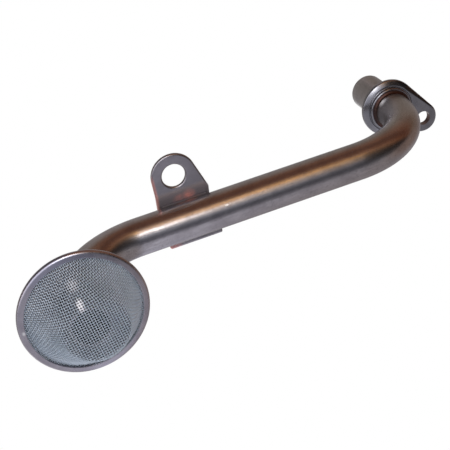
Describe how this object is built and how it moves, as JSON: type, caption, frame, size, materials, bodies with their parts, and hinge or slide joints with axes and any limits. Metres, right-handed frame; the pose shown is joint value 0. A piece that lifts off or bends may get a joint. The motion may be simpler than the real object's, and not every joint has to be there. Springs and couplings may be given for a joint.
{
  "type": "oil pickup tube",
  "caption": "Bent steel oil pickup tube with a bolted oval flange and spigot, a brazed steady bracket and a rolled dish holding a hat-shaped wire screen.",
  "frame": {"origin": "where the spigot's axis crosses the flange's seat face", "axes": "+Z along the spigot, engine up; +X along the run, from the dish towards the flange"},
  "size_m": [0.2955, 0.0754, 0.1696],
  "materials": {
    "bare_steel": "satin, heat tinted",
    "pressed_steel": "satin",
    "rim_steel": "satin",
    "screen_wire": "bright drawn wire",
    "copper_braze": "matt copper stain"
  },
  "bodies": {
    "root": {"pickup_tube": "bare_steel", "mounting_flange": "pressed_steel", "flange_braze": "copper_braze", "mounting_bracket": "pressed_steel", "bracket_braze": "copper_braze", "strainer_dish": "rim_steel", "dish_braze": "copper_braze", "strainer_screen": "screen_wire"}
  },
  "joints": []
}
